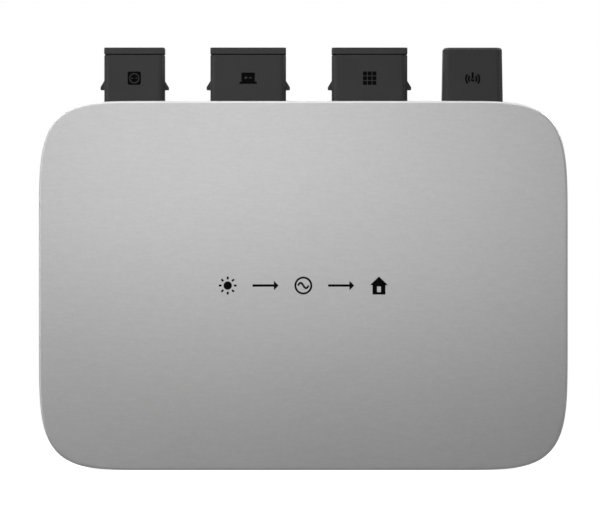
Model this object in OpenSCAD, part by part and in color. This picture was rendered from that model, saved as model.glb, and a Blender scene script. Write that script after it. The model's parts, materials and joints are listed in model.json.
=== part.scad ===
// Wall-mounted solar micro inverter: a silver front cover on a finned heat sink, with three capped
// sockets and a wireless block along the top edge, and the power electronics inside.
//
// The part stands upright: +Z is up, towards the sockets, +X is to the right seen from the front,
// and the front face looks along -Y. The origin is the centre of the four rear mounting holes, on
// the plane that rests on the wall. A depth is measured forwards from that plane.

/* [Housing] */
// Width of the housing, side to side
body_w = 242; // [240:1:250]
// Height of the housing, without the sockets
body_h = 169; // [168:1:174]
// Thickness of the inverter, from the wall to the front face
body_t = 29.5; // [29.5:0.5:34]
// Reach of each rounded corner along the top and bottom edges
corner_reach_x = 57.4; // [52:0.2:60]
// Reach of each rounded corner along the sides
corner_reach_z = 64.6; // [58:0.2:68]
// Squareness of the rounded corners, where 2 is a plain arc
corner_power = 4.8; // [4.2:0.1:5.4]
// Wall thickness of the front cover's rim
wall_t = 3; // [2.8:0.1:3.2]
// Thickness of the front face
face_t = 2; // [1.5:0.1:2]
// Width of the bevel around the front face
edge_bevel = 0.9; // [0.4:0.1:1.4]

/* [Heat sink] */
// Height of the cooling fins
fin_h = 4; // [3:0.2:4]
// Thickness of one fin
fin_t = 1.8; // [1.2:0.1:2.4]
// Distance from fin to fin
fin_pitch = 7.2; // [5.6:0.2:9]
// Thickness of the back plate
plate_t = 2.8; // [2.4:0.1:2.8]

/* [Mounting] */
// Distance between the rear mounting holes, side to side
mount_w = 150; // [140:1:154]
// Distance between the rear mounting holes, top to bottom
mount_h = 100; // [96:1:104]
// Radius of the mounting and grounding holes, before the thread
mount_hole_r = 1.65; // [1.6:0.05:2.1]

/* [Sockets] */
// Thickness of the socket shells, back to front
port_t = 16.4; // [15.6:0.2:16.8]
// Height of the sockets above the housing, with their caps
port_rise = 24.6; // [23:0.1:28]
// Width of the grid socket
grid_w = 27.7; // [26:0.1:28]
// Width of the battery socket
battery_w = 34.7; // [33:0.1:35]
// Width of the solar socket
solar_w = 34.7; // [33:0.1:35]
// Width of the wireless block at its foot
antenna_w = 27.9; // [27:0.1:28]
// Thickness of the socket shells' walls
shell_wall = 1.9; // [1.5:0.1:2.2]

/* [Hidden] */
$fn = 48;
corner_steps = 20;
gap = 0.05;
through = 60;

// Depths of the main layers, measured forwards from the wall
seam_d = fin_h + plate_t;
inner_d = body_t - face_t;
board_t = 1.6;
board_back_d = 12.15;
board_d = board_back_d + board_t;
port_d = 17.15;

// Places of the sockets along the top edge
grid_x = -77.5;
battery_x = -25.3;
solar_x = 30.4;
antenna_x = 77.6;
port_sizes = [[grid_x, grid_w], [battery_x, battery_w], [solar_x, solar_w], [antenna_x, antenna_w]];
port_corner_r = 3;
cap_corner_r = 1.2;
opening_gap = 0.15;
opening_reach = 8;

// Flanges that hold the sockets and the wireless block against the inside of the top wall
flange_w = 3.8;
flange_deep = port_t + 3.2;
flange_t = 2;
flange_gasket_t = 0.6;
flange_under = wall_t + flange_gasket_t + flange_t;
flange_screw_r = 0.95;
flange_screw_bite = 1.5;
flange_screw_out = flange_w / 2;
flange_head_r = 1.65;
flange_head_t = 1.4;
flange_screw_clear = 0.15;
flange_fit = 0.2;
seat_out = flange_w + flange_fit;

// Shroud, cap and latch lugs of a socket, in heights above the top wall
cap_band = 3;
cap_gap = 0.4;
rim_z = port_rise - cap_band - cap_gap;
plug_deep = 4.4;
cap_clear = 0.35;
cap_seal_z = rim_z - 2.6;
cap_seal_t = 1.5;
cap_groove = 0.9;
cap_seal_clear = 0.12;
lug_top = 9.5;
lug_low = 5.3;
lug_out = 1.8;
lug_edge = 1.2;
lug_deep = 8;
insert_low = -flange_under - 0.9;
insert_top = 2.5;
pin_top = 11;
pin_tip = 0.6;
tail_r = 0.8;
tail_z = -12.5;
tail_past = 0.8;
grid_pins = [[-7, 1.25], [0, 1.25], [7, 1.25]];
battery_pins = [[-10.5, 2], [-4.5, 0.9], [-1.5, 0.9], [1.5, 0.9], [4.5, 0.9], [10.5, 2]];
solar_pins = [[-11, 1.5], [-4, 1.5], [4, 1.5], [11, 1.5]];

// Wireless block
antenna_draft = 0.4;
antenna_foot_h = 0.5;
antenna_top_w = antenna_w - 2 * antenna_draft;
antenna_top_t = port_t - antenna_draft;
antenna_round = 1.3;
antenna_round_steps = [[1, 0], [0.4, 0.7], [0, 2]];
antenna_wall = 2;
antenna_board = [20, 1, 28];
antenna_board_low = -8;
shield_can_low = -2;
shield_can = [14, 2.4, 10];
cable_r = 0.65;
cable_x = antenna_x + 5;
cable_d = 15.9;
cable_plug_r = 1.6;
cable_plug_l = 1.5;
cable_bend = 1.4;
cable_socket_l = 1.5;
cable_head_up = 3;
cable_foot_z = 66;

// Screws that hold the heat sink to the cover
boss_r = 3.5;
screw_r = 1.25;
screw_gap = 0.03;
screw_clear_r = 1.7;
screw_bite = 7;
screw_head_r = 2.8;
screw_head_t = 1.9;
screw_hex_r = 1.3;
screw_hex_deep = 1.1;
screw_seal_r = 3.1;
screw_seal_t = 0.6;
edge_z = body_h / 2 - 5.9;
side_x = body_w / 2 - 6;
side_z = 24;
corner_x = body_w / 2 - 13.5;
corner_z = body_h / 2 - 13.5;
housing_screw_points = concat(
    [for (sx = [-1, 1]) for (sz = [-1, 1]) [sx * corner_x, sz * corner_z]],
    [for (sx = [-1, 1]) for (sz = [-1, 1]) [sx * side_x, sz * side_z]],
    [for (x = [-53.15, 55.7]) for (sz = [-1, 1]) [x, sz * edge_z]],
    [[0, -edge_z]]);

// Heat sink details
plate_inset = 0.4;
groove_out = 1.2;
groove_in = 2.4;
groove_deep = 0.9;
fin_margin = 9.5;
pad_r = 8.5;
pad_inner_r = 5.5;
pad_inner_t = 2.2;
mount_hole_deep = 7;
mount_points = [for (sx = [-1, 1]) for (sz = [-1, 1]) [sx * mount_w / 2, sz * mount_h / 2]];
ground_at = [96, -24];
ground_r = 6;
ground_d = 1;
ground_deep = 4.5;
label_size = [84, 44];
label_at = [0, 6];
label_d = 0.6;
label_t = 0.3;
label_land = [88, 48];
vent_at = [-36, -62];
vent_r = 7;
vent_d = 1;
vent_shank_r = 4.5;
vent_seal_r = 6;
vent_seal_t = 0.7;
vent_nut_r = 6.4;
vent_nut_t = 2;
vent_shank_past = 0.4;
vent_slot_w = 1.2;
vent_slot_deep = 0.7;
clear_round = 2.5;

// Indicator light in the top edge
light_x = 2.7;
light_d = 15.4;
light_r = 1.5;
light_foot_z = -10;
light_collar = [2.5, 1.6];
led = [2, 1.25, 1.2];
led_drop = 1.2;

// Main board and what stands on it
board_inset = 5.6;
board_top = 76;
standoff_r = 3.2;
board_screw_deep = 4.5;
board_head_t = 1.8;
board_screw_short = 0.3;
post_clear = 0.8;
board_screw_points = [[-104, 26], [104, 2], [0, 60], [0, -4], [0, -70], [-76, -72], [76, -72], [58, 60]];
transistor = [10, 9, 2.35];
transistor_land = [12, 11];
transistor_pad = [11, 10];
transistor_points = [for (x = [-45, -15, 15, 45]) for (z = [24, -36]) [x, z]];
pad_t = 0.6;
land_d = board_back_d - transistor[2] - pad_t;
transformer_points = [[-30, -6], [30, -6]];
transformer_w = 40;
transformer_h = 34;
transformer_core_t = 13;
transformer_t = 19;
transformer_d = 7.6;
cutout_gap = 1;
core_leg = 11;
core_side = 5.5;
core_yoke = 6;
transformer_window_h = transformer_h - 2 * core_yoke;
bobbin_gap = 0.2;
bobbin_t = 1;
bobbin_flange_t = 1.2;
bobbin_flange_out = 7.8;
bobbin_flange_out_d = 2.9;
winding_out = 7.6;
winding_out_d = 3;
winding_short = 3;
transformer_pad = [25, 18];
dc_capacitor_r = 6.2;
dc_capacitor_l = 42;
dc_capacitor_points = [for (x = [-28, 28]) for (z = [-40.5, -55]) [x, z]];
input_capacitor_r = 5;
input_capacitor_l = 20;
input_capacitor_points = [for (x = [-37, -25, -13, 18, 30, 42]) [x, 44]];
film_capacitor = [24, 9, 12.5];
film_capacitor_points = [[-97, -14], [-67, -14], [-92, -60], [-62, -60], [92, -60], [62, -60]];
relay = [18, 15, 12];
relay_points = [[-88, 42], [-66, 42]];
fuse_at = [-104, 45];
fuse_r = 2.6;
fuse_l = 20;
fuse_end_l = 4;
fuse_end_lip = 0.2;
fuse_lift = 0.5;
varistor_r = 6.2;
varistor_t = 4.5;
varistor_points = [for (x = [-92, -77, -62]) [x, 60]];
sensor = [9, 8, 5];
sensor_at = [-51.5, 58];
choke_at = [-84, 12];
choke = [13, 7.5];
choke_half = [17, 40, 13];
choke_half_out = 10.5;
inductor_points = [[-92, -38], [-64, -38], [66, -38], [94, -38]];
inductor = [11, 6];
ring_core_t = 8.4;
coil_t = 1.6;
ring_core_d = board_d + coil_t + 0.3;
driver_chip = [7.5, 10, 2.3];
driver_chip_points = [for (x = [-40, -20, 20, 40]) [x, 22]];
aux_at = [84, -8];
aux_core = [17, 14, 11];
aux_wall = [3, 2.5];
aux_coil_past = 1.5;
control_at = [86, 34];
control_board_size = [36, 44, 1.2];
control_d = 20;
control_chip_size = [14, 14, 1.5];
header_w = 2.6;
header_l = 30;
film_inset = 11.5;
film_t = 0.3;

// One point of a unit superellipse quarter, at the polar angle a
function corner_point(a) =
    let (reach = pow(pow(cos(a), corner_power) + pow(sin(a), corner_power), -1 / corner_power))
    [cos(a) * reach, sin(a) * reach];

// The housing's outline seen from the front, drawn in by inset
function outline_points(inset) = [
    for (quarter = [0:3]) for (i = [0:corner_steps])
        let (step = quarter % 2 == 0 ? i : corner_steps - i,
             p = corner_point(90 * step / corner_steps),
             sx = quarter == 0 || quarter == 3 ? 1 : -1,
             sz = quarter < 2 ? 1 : -1)
        [sx * (body_w / 2 - corner_reach_x + (corner_reach_x - inset) * p[0]),
         sz * (body_h / 2 - corner_reach_z + (corner_reach_z - inset) * p[1])]
];

// Puts a drawing of the front view at a depth: it is extruded forwards, away from the wall
module at_depth(d) {
    translate([0, -d, 0]) rotate([90, 0, 0]) children();
}

module panel(d, t, inset) {
    at_depth(d) linear_extrude(t) polygon(outline_points(inset));
}

module disc(at, d, r, t) {
    at_depth(d) translate([at[0], at[1], 0]) cylinder(r = r, h = t);
}

module ring(at, d, r_out, r_in, t) {
    difference() {
        disc(at, d, r_out, t);
        disc(at, d - 1, r_in, t + 2);
    }
}

// A block seen from the front, centred on a point, with its size as width, height and thickness
module block(at, d, size) {
    at_depth(d) translate([at[0], at[1], size[2] / 2]) cube(size, center = true);
}

// A cylinder lying along X
module lying_x(at, d, r, l) {
    translate([at[0] - l / 2, -d, at[1]]) rotate([0, 90, 0]) cylinder(r = r, h = l);
}

// A cylinder standing along Z
module lying_z(at, d, r, l) {
    translate([at[0], -d, at[1] - l / 2]) cylinder(r = r, h = l);
}

// A rectangle with rounded corners, made of true arcs
module rounded(w, deep, r) {
    square([w - 2 * r, deep], center = true);
    square([w, deep - 2 * r], center = true);
    for (sx = [-1, 1]) for (sy = [-1, 1]) translate([sx * (w / 2 - r), sy * (deep / 2 - r)]) circle(r);
}

// Puts a socket's drawing on the top wall, where height 0 is the wall's outer face
module at_port(x) {
    translate([x, -port_d, body_h / 2]) children();
}

module upright(low, high, w, deep, r) {
    translate([0, 0, low]) linear_extrude(high - low) rounded(w, deep, r);
}

// ---------------------------------------------------------------- housing

module cover_block() {
    hull() {
        panel(seam_d, body_t - seam_d - edge_bevel, 0);
        panel(seam_d, body_t - seam_d, edge_bevel);
    }
}

module front_cover() {
    color("silver") difference() {
        union() {
            difference() {
                cover_block();
                panel(seam_d - 1, inner_d - seam_d + 1, wall_t);
            }
            for (p = housing_screw_points) disc(p, seam_d, boss_r, inner_d - seam_d + gap);
        }
        for (p = housing_screw_points) disc(p, seam_d - 1, screw_r, screw_bite + 2);
        for (port = port_sizes) at_port(port[0]) {
            upright(-opening_reach, opening_reach, port[1] + 2 * opening_gap, port_t + 2 * opening_gap,
                    port_corner_r);
            upright(-opening_reach, -wall_t, port[1] + 2 * seat_out, flange_deep + 2 * flange_fit,
                    port_corner_r);
            for (s = [-1, 1]) translate([s * (port[1] / 2 + flange_screw_out), 0, -wall_t - 1])
                cylinder(r = flange_screw_r + screw_gap, h = flange_screw_bite + 1.1);
        }
        translate([light_x, -light_d, body_h / 2 - wall_t - 1]) cylinder(r = light_r + gap, h = wall_t + 2);
    }
}

module fin_rows() {
    count = floor(body_w / 2 / fin_pitch);
    for (i = [-count:count]) translate([i * fin_pitch, 0]) square([fin_t, body_h], center = true);
}

module fins() {
    at_depth(0) linear_extrude(fin_h + gap) difference() {
        intersection() {
            polygon(outline_points(fin_margin));
            fin_rows();
        }
        for (p = mount_points) translate(p) circle(pad_r + clear_round);
        for (p = housing_screw_points) translate(p) circle(screw_seal_r + clear_round);
        translate(ground_at) circle(ground_r + clear_round);
        translate(vent_at) circle(vent_r + clear_round);
        translate(label_at) square(label_land, center = true);
    }
}

module rear_heat_sink() {
    color([0.22, 0.23, 0.24]) difference() {
        union() {
            panel(fin_h, plate_t, plate_inset);
            fins();
            for (p = mount_points) {
                disc(p, 0, pad_r, fin_h + gap);
                disc(p, seam_d - gap, pad_inner_r, pad_inner_t + gap);
            }
            disc(ground_at, ground_d, ground_r, fin_h - ground_d + gap);
            block(label_at, label_d, [label_land[0], label_land[1], fin_h - label_d + gap]);
            for (p = board_screw_points) disc(p, seam_d - gap, standoff_r, board_back_d - seam_d + gap);
            for (p = transistor_points)
                block(p, seam_d - gap, [transistor_land[0], transistor_land[1], land_d - seam_d + gap]);
        }
        at_depth(seam_d - groove_deep) linear_extrude(groove_deep + 1) gasket_ring(0);
        for (p = mount_points) disc(p, -1, mount_hole_r, mount_hole_deep + 1);
        disc(ground_at, ground_d - 1, mount_hole_r, ground_deep + 1);
        for (p = housing_screw_points) disc(p, fin_h - 1, screw_clear_r, plate_t + 2);
        for (p = board_screw_points)
            disc(p, board_back_d - board_screw_deep, screw_r, board_screw_deep + 1);
        disc(vent_at, fin_h - 1, vent_shank_r + gap, plate_t + 2);
    }
}

module gasket_ring(slack) {
    difference() {
        polygon(outline_points(groove_out + slack));
        polygon(outline_points(groove_in - slack));
    }
}

module housing_gasket() {
    color("black") at_depth(seam_d - groove_deep) linear_extrude(groove_deep) gasket_ring(gap);
}

module housing_screws() {
    head_d = fin_h - screw_seal_t - screw_head_t;
    color("gray") for (p = housing_screw_points) difference() {
        union() {
            disc(p, head_d, screw_head_r, screw_head_t);
            disc(p, head_d, screw_r - screw_gap, seam_d + screw_bite - head_d);
        }
        at_depth(head_d - 1) translate([p[0], p[1], 0])
            cylinder(r = screw_hex_r, h = screw_hex_deep + 1, $fn = 6);
    }
}

module housing_screw_seals() {
    color("dimgray") for (p = housing_screw_points)
        ring(p, fin_h - screw_seal_t, screw_seal_r, screw_r, screw_seal_t);
}

module vent_plug() {
    color([0.15, 0.15, 0.15]) difference() {
        union() {
            disc(vent_at, vent_d, vent_r, fin_h - vent_d);
            disc(vent_at, vent_d, vent_shank_r, seam_d + vent_nut_t + vent_shank_past - vent_d);
        }
        ring(vent_at, fin_h - vent_seal_t, vent_seal_r, vent_shank_r, vent_seal_t + gap);
        for (a = [0, 90]) at_depth(vent_d) translate([vent_at[0], vent_at[1], 0]) rotate(a)
            cube([vent_slot_w, vent_r * 3, 2 * vent_slot_deep], center = true);
    }
}

module vent_seal() {
    color("black") ring(vent_at, fin_h - vent_seal_t, vent_seal_r - gap, vent_shank_r + gap, vent_seal_t);
}

module vent_nut() {
    color("dimgray") difference() {
        at_depth(seam_d) translate([vent_at[0], vent_at[1], 0])
            cylinder(r = vent_nut_r, h = vent_nut_t, $fn = 6);
        disc(vent_at, seam_d - 1, vent_shank_r + gap, vent_nut_t + 2);
    }
}

module rating_label() {
    color("gainsboro") block(label_at, label_d - label_t, [label_size[0], label_size[1], label_t]);
}

module status_light_pipe() {
    color("white") translate([light_x, -light_d, body_h / 2]) {
        translate([0, 0, light_foot_z]) cylinder(r = light_r, h = -light_foot_z);
        translate([0, 0, -wall_t - light_collar[1]]) cylinder(r = light_collar[0], h = light_collar[1]);
    }
}

module status_led() {
    color("white") block([light_x, body_h / 2 + light_foot_z - led_drop], board_d, led);
}

// ---------------------------------------------------------------- sockets

module flange(w) {
    difference() {
        upright(-flange_under, -flange_under + flange_t, w + 2 * flange_w, flange_deep, port_corner_r);
        for (s = [-1, 1]) translate([s * (w / 2 + flange_screw_out), 0, -flange_under - 1])
            cylinder(r = flange_screw_r + flange_screw_clear, h = flange_t + 2);
    }
}

module flange_gasket(w) {
    color("black") difference() {
        upright(-wall_t - flange_gasket_t, -wall_t, w + 2 * flange_w, flange_deep, port_corner_r);
        upright(-through, through, w + 2 * opening_gap, port_t + 2 * opening_gap, port_corner_r);
        for (s = [-1, 1]) translate([s * (w / 2 + flange_screw_out), 0, -flange_under])
            cylinder(r = flange_screw_r + flange_screw_clear, h = flange_under);
    }
}

module latch_lugs(w) {
    for (s = [0, 1]) mirror([s, 0, 0]) translate([w / 2, 0, 0]) rotate([90, 0, 0])
        linear_extrude(lug_deep, center = true) polygon([
            [-1, lug_low], [lug_out, lug_low], [lug_out, lug_low + lug_edge], [0, lug_top], [-1, lug_top]
        ]);
}

module socket_shell(w) {
    color([0.16, 0.16, 0.16]) difference() {
        union() {
            upright(-flange_under, rim_z, w, port_t, port_corner_r);
            flange(w);
            latch_lugs(w);
        }
        upright(-through, through, w - 2 * shell_wall, port_t - 2 * shell_wall, port_corner_r);
    }
}

module socket_insert(w, pins) {
    color([0.1, 0.1, 0.1]) difference() {
        upright(insert_low, insert_top, w - 2 * shell_wall - 2 * gap, port_t - 2 * shell_wall - 2 * gap,
                port_corner_r);
        for (pin = pins) translate([pin[0], 0, insert_low - 1])
            cylinder(r = pin[1] + gap, h = insert_top - insert_low + 2);
    }
}

module socket_pins(pins) {
    color("gold") for (pin = pins) translate([pin[0], 0, 0]) {
        tip_h = pin[1] / 2;
        translate([0, 0, insert_low]) cylinder(r = pin[1], h = pin_top - tip_h - insert_low);
        translate([0, 0, pin_top - tip_h]) cylinder(r1 = pin[1], r2 = pin_tip * pin[1], h = tip_h);
        translate([0, 0, tail_z]) cylinder(r = tail_r, h = insert_low - tail_z + gap);
        translate([0, 0, tail_z]) sphere(tail_r);
        translate([0, 0, tail_z]) rotate([-90, 0, 0])
            cylinder(r = tail_r, h = port_d - board_back_d + tail_past);
    }
}

module dust_cap(w) {
    plug_w = w - 2 * shell_wall - 2 * cap_clear;
    plug_t = port_t - 2 * shell_wall - 2 * cap_clear;
    color([0.2, 0.2, 0.2]) difference() {
        union() {
            upright(rim_z + cap_gap, port_rise, w, port_t, cap_corner_r);
            upright(rim_z - plug_deep, rim_z + cap_gap + gap, plug_w, plug_t, port_corner_r);
        }
        difference() {
            upright(cap_seal_z - gap, cap_seal_z + cap_seal_t + gap, w, port_t, port_corner_r);
            upright(-through, through, plug_w - 2 * cap_groove, plug_t - 2 * cap_groove, port_corner_r);
        }
    }
}

module cap_seal(w) {
    plug_w = w - 2 * shell_wall - 2 * cap_clear;
    plug_t = port_t - 2 * shell_wall - 2 * cap_clear;
    inward = 2 * (cap_groove - gap);
    outward = 2 * (cap_clear - cap_seal_clear);
    color("black") difference() {
        upright(cap_seal_z, cap_seal_z + cap_seal_t, plug_w + outward, plug_t + outward, port_corner_r);
        upright(-through, through, plug_w - inward, plug_t - inward, port_corner_r);
    }
}

module grid_socket_shell() at_port(grid_x) socket_shell(grid_w);
module grid_socket_insert() at_port(grid_x) socket_insert(grid_w, grid_pins);
module grid_socket_pins() at_port(grid_x) socket_pins(grid_pins);
module grid_flange_gasket() at_port(grid_x) flange_gasket(grid_w);
module grid_dust_cap() at_port(grid_x) dust_cap(grid_w);
module grid_cap_seal() at_port(grid_x) cap_seal(grid_w);

module battery_socket_shell() at_port(battery_x) socket_shell(battery_w);
module battery_socket_insert() at_port(battery_x) socket_insert(battery_w, battery_pins);
module battery_socket_pins() at_port(battery_x) socket_pins(battery_pins);
module battery_flange_gasket() at_port(battery_x) flange_gasket(battery_w);
module battery_dust_cap() at_port(battery_x) dust_cap(battery_w);
module battery_cap_seal() at_port(battery_x) cap_seal(battery_w);

module solar_socket_shell() at_port(solar_x) socket_shell(solar_w);
module solar_socket_insert() at_port(solar_x) socket_insert(solar_w, solar_pins);
module solar_socket_pins() at_port(solar_x) socket_pins(solar_pins);
module solar_flange_gasket() at_port(solar_x) flange_gasket(solar_w);
module solar_dust_cap() at_port(solar_x) dust_cap(solar_w);
module solar_cap_seal() at_port(solar_x) cap_seal(solar_w);

module flange_screws() {
    color("gray") for (port = port_sizes) at_port(port[0])
        for (s = [-1, 1]) translate([s * (port[1] / 2 + flange_screw_out), 0, 0]) {
            translate([0, 0, -flange_under - flange_head_t])
                cylinder(r = flange_head_r, h = flange_head_t);
            translate([0, 0, -flange_under - gap])
                cylinder(r = flange_screw_r, h = flange_under - wall_t + flange_screw_bite + gap);
        }
}

// ---------------------------------------------------------------- wireless block

module antenna_cover() {
    color([0.15, 0.15, 0.15]) at_port(antenna_x) difference() {
        union() {
            hull() {
                upright(0, antenna_foot_h, antenna_w, port_t, port_corner_r, $fn = 32);
                for (step = antenna_round_steps)
                    upright(0, port_rise - step[0] * antenna_round,
                            antenna_top_w - step[1] * antenna_round,
                            antenna_top_t - step[1] * antenna_round, port_corner_r, $fn = 32);
            }
            upright(-flange_under, gap, antenna_w, port_t, port_corner_r);
            flange(antenna_w);
        }
        upright(-through, port_rise - antenna_wall, antenna_w - 2 * antenna_wall,
                port_t - 2 * antenna_wall, port_corner_r);
    }
}

module antenna_flange_gasket() at_port(antenna_x) flange_gasket(antenna_w);

module antenna_board_plate() {
    color("darkgreen") at_port(antenna_x)
        translate([-antenna_board[0] / 2, -antenna_board[1] / 2, antenna_board_low]) cube(antenna_board);
}

module antenna_shield_can() {
    color("silver") at_port(antenna_x)
        translate([-shield_can[0] / 2, -antenna_board[1] / 2 - shield_can[1], shield_can_low])
            cube(shield_can);
}

module antenna_cable() {
    head_z = body_h / 2 + antenna_board_low + cable_head_up;
    plug_d = port_d - antenna_board[1] / 2;
    color("black") {
        disc([cable_x, head_z], plug_d - cable_plug_l, cable_plug_r, cable_plug_l);
        translate([cable_x, -cable_d, cable_foot_z + cable_bend])
            cylinder(r = cable_r, h = head_z - cable_foot_z - cable_bend);
        translate([cable_x, cable_bend - cable_d, cable_foot_z + cable_bend]) rotate([-90, 0, -90])
            rotate_extrude(angle = 90) translate([cable_bend, 0]) circle(cable_r);
        disc([cable_x, cable_foot_z], board_d, cable_r, cable_d - cable_bend - board_d);
        disc([cable_x, cable_foot_z], board_d, cable_plug_r, cable_socket_l);
    }
}

// ---------------------------------------------------------------- electronics

module main_board() {
    tail_points = [for (socket = [[grid_x, grid_pins], [battery_x, battery_pins], [solar_x, solar_pins]])
        for (pin = socket[1]) [socket[0] + pin[0], body_h / 2 + tail_z]];
    color("darkgreen") difference() {
        at_depth(board_back_d) linear_extrude(board_t) difference() {
            intersection() {
                polygon(outline_points(board_inset));
                translate([-body_w / 2, board_top - body_h]) square([body_w, body_h]);
            }
            for (p = housing_screw_points) translate(p) circle(boss_r + post_clear);
            for (p = transformer_points) translate(p)
                square([transformer_w, transformer_h] + 2 * [cutout_gap, cutout_gap], center = true);
        }
        for (p = board_screw_points) disc(p, board_back_d - 1, screw_clear_r, board_t + 2);
        for (p = tail_points) disc(p, board_back_d - 1, tail_r + gap, board_t + 2);
    }
}

module board_screws() {
    color("gray") for (p = board_screw_points) {
        disc(p, board_d, screw_head_r, board_head_t);
        disc(p, board_back_d - board_screw_deep + board_screw_short, screw_r - screw_gap,
             board_t + board_screw_deep - board_screw_short + gap);
    }
}

module thermal_pads() {
    color("lightblue") {
        for (p = transistor_points) block(p, land_d, [transistor_pad[0], transistor_pad[1], pad_t]);
        for (p = transformer_points)
            block(p, seam_d, [transformer_pad[0], transformer_pad[1], transformer_d - seam_d]);
    }
}

module power_transistors() {
    color([0.12, 0.12, 0.12]) for (p = transistor_points)
        block(p, board_back_d - transistor[2], transistor);
}

// One half of an E-shaped core, its legs pointing along dir
module core_half(p, dir) {
    mid_d = transformer_d + (transformer_t - transformer_core_t) / 2;
    window_w = (transformer_w - core_leg) / 2 - core_side;
    window_h = transformer_h / 2 - core_yoke;
    difference() {
        block([p[0], p[1] - dir * (transformer_h / 4 + gap / 2)], mid_d,
              [transformer_w, transformer_h / 2 - gap, transformer_core_t]);
        for (s = [-1, 1])
            block([p[0] + s * (core_leg + window_w) / 2, p[1] - dir * (window_h / 2 - 1)], mid_d - 1,
                  [window_w, window_h + 2, transformer_core_t + 2]);
    }
}

module transformer_cores() {
    color([0.2, 0.2, 0.22]) for (p = transformer_points) for (dir = [-1, 1]) core_half(p, dir);
}

// A square tube around a transformer's middle leg, with its wall between two offsets
module leg_tube(p, offset_in, offset_out, offset_out_d, h) {
    mid_d = transformer_d + transformer_t / 2;
    deep_in = transformer_core_t + 2 * offset_in;
    deep_out = transformer_core_t + 2 * offset_out_d;
    difference() {
        block(p, mid_d - deep_out / 2, [core_leg + 2 * offset_out, h, deep_out]);
        block(p, mid_d - deep_in / 2, [core_leg + 2 * offset_in, h + 2, deep_in]);
    }
}

module transformer_bobbins() {
    bobbin_h = transformer_window_h - 2 * bobbin_gap;
    color("ivory") for (p = transformer_points) {
        leg_tube(p, bobbin_gap, bobbin_gap + bobbin_t, bobbin_gap + bobbin_t, bobbin_h);
        for (s = [-1, 1])
            leg_tube([p[0], p[1] + s * (bobbin_h - bobbin_flange_t) / 2], bobbin_gap, bobbin_flange_out,
                     bobbin_flange_out_d, bobbin_flange_t);
    }
}

module transformer_windings() {
    color([0.72, 0.43, 0.2]) for (p = transformer_points)
        leg_tube(p, bobbin_gap + bobbin_t + gap, winding_out, winding_out_d,
                 transformer_window_h - winding_short);
}

module dc_capacitors() {
    color([0.1, 0.12, 0.2]) for (p = dc_capacitor_points)
        lying_x(p, board_d + gap + dc_capacitor_r, dc_capacitor_r, dc_capacitor_l);
}

module input_capacitors() {
    color([0.1, 0.12, 0.2]) for (p = input_capacitor_points)
        lying_z(p, board_d + gap + input_capacitor_r, input_capacitor_r, input_capacitor_l);
}

module film_capacitors() {
    color("khaki") for (p = film_capacitor_points) block(p, board_d, film_capacitor);
}

module relays() {
    color([0.1, 0.1, 0.1]) for (p = relay_points) block(p, board_d, relay);
}

module fuse() {
    fuse_d = board_d + fuse_lift + fuse_r;
    color("wheat") {
        lying_z(fuse_at, fuse_d, fuse_r - fuse_end_lip, fuse_l);
        for (s = [-1, 1])
            lying_z([fuse_at[0], fuse_at[1] + s * (fuse_l - fuse_end_l) / 2], fuse_d, fuse_r, fuse_end_l);
    }
}

module varistors() {
    color("steelblue") for (p = varistor_points)
        lying_x(p, board_d + gap + varistor_r, varistor_r, varistor_t);
}

module current_sensor() {
    color([0.1, 0.1, 0.1]) block(sensor_at, board_d, sensor);
}

// A flat ring core, with its radii as [outer, inner]
module ring_core(at, radii) {
    color([0.3, 0.3, 0.3]) ring(at, ring_core_d, radii[0], radii[1], ring_core_t);
}

// A square around a ring core's section, standing off it by out
module ring_section(radii, out) {
    translate([radii[1] - out, -out]) square([radii[0] - radii[1] + 2 * out, ring_core_t + 2 * out]);
}

// The coil wound around a ring core, as a closed sleeve
module ring_coil(at, radii) {
    color([0.72, 0.43, 0.2]) at_depth(ring_core_d) translate([at[0], at[1], 0]) rotate_extrude()
        difference() {
            ring_section(radii, coil_t);
            ring_section(radii, gap);
        }
}

module choke_core() ring_core(choke_at, choke);

module choke_windings() {
    color([0.72, 0.43, 0.2]) for (side = [-1, 1]) intersection() {
        ring_coil(choke_at, choke);
        block([choke_at[0] + side * choke_half_out, choke_at[1]], board_d, choke_half);
    }
}

module inductor_cores() {
    for (p = inductor_points) ring_core(p, inductor);
}

module inductor_coils() {
    for (p = inductor_points) ring_coil(p, inductor);
}

module driver_chips() {
    color([0.08, 0.08, 0.08]) for (p = driver_chip_points) block(p, board_d, driver_chip);
}

// The window of the auxiliary core, drawn in by slack and reaching past both its ends
module aux_window(slack, past) {
    inward = 2 * (aux_wall + [slack, slack]);
    block(aux_at, board_d + aux_wall[1] + slack,
          [aux_core[0] - inward[0], aux_core[1] + 2 * past, aux_core[2] - inward[1]]);
}

module aux_transformer_core() {
    color([0.2, 0.2, 0.22]) difference() {
        block(aux_at, board_d, aux_core);
        aux_window(0, 1);
    }
}

module aux_transformer_coil() {
    color([0.85, 0.75, 0.3]) aux_window(gap, aux_coil_past);
}

module control_board() {
    color("darkgreen") block(control_at, control_d, control_board_size);
}

module control_chip() {
    color([0.08, 0.08, 0.08]) block(control_at, control_d + control_board_size[2], control_chip_size);
}

module board_headers() {
    color([0.1, 0.1, 0.1]) for (s = [-1, 1])
        block([control_at[0] + s * (control_board_size[0] / 2 - header_w), control_at[1]], board_d,
              [header_w, header_l, control_d - board_d]);
}

module insulating_film() {
    color("moccasin") panel(inner_d - film_t - gap, film_t, film_inset);
}

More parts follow.
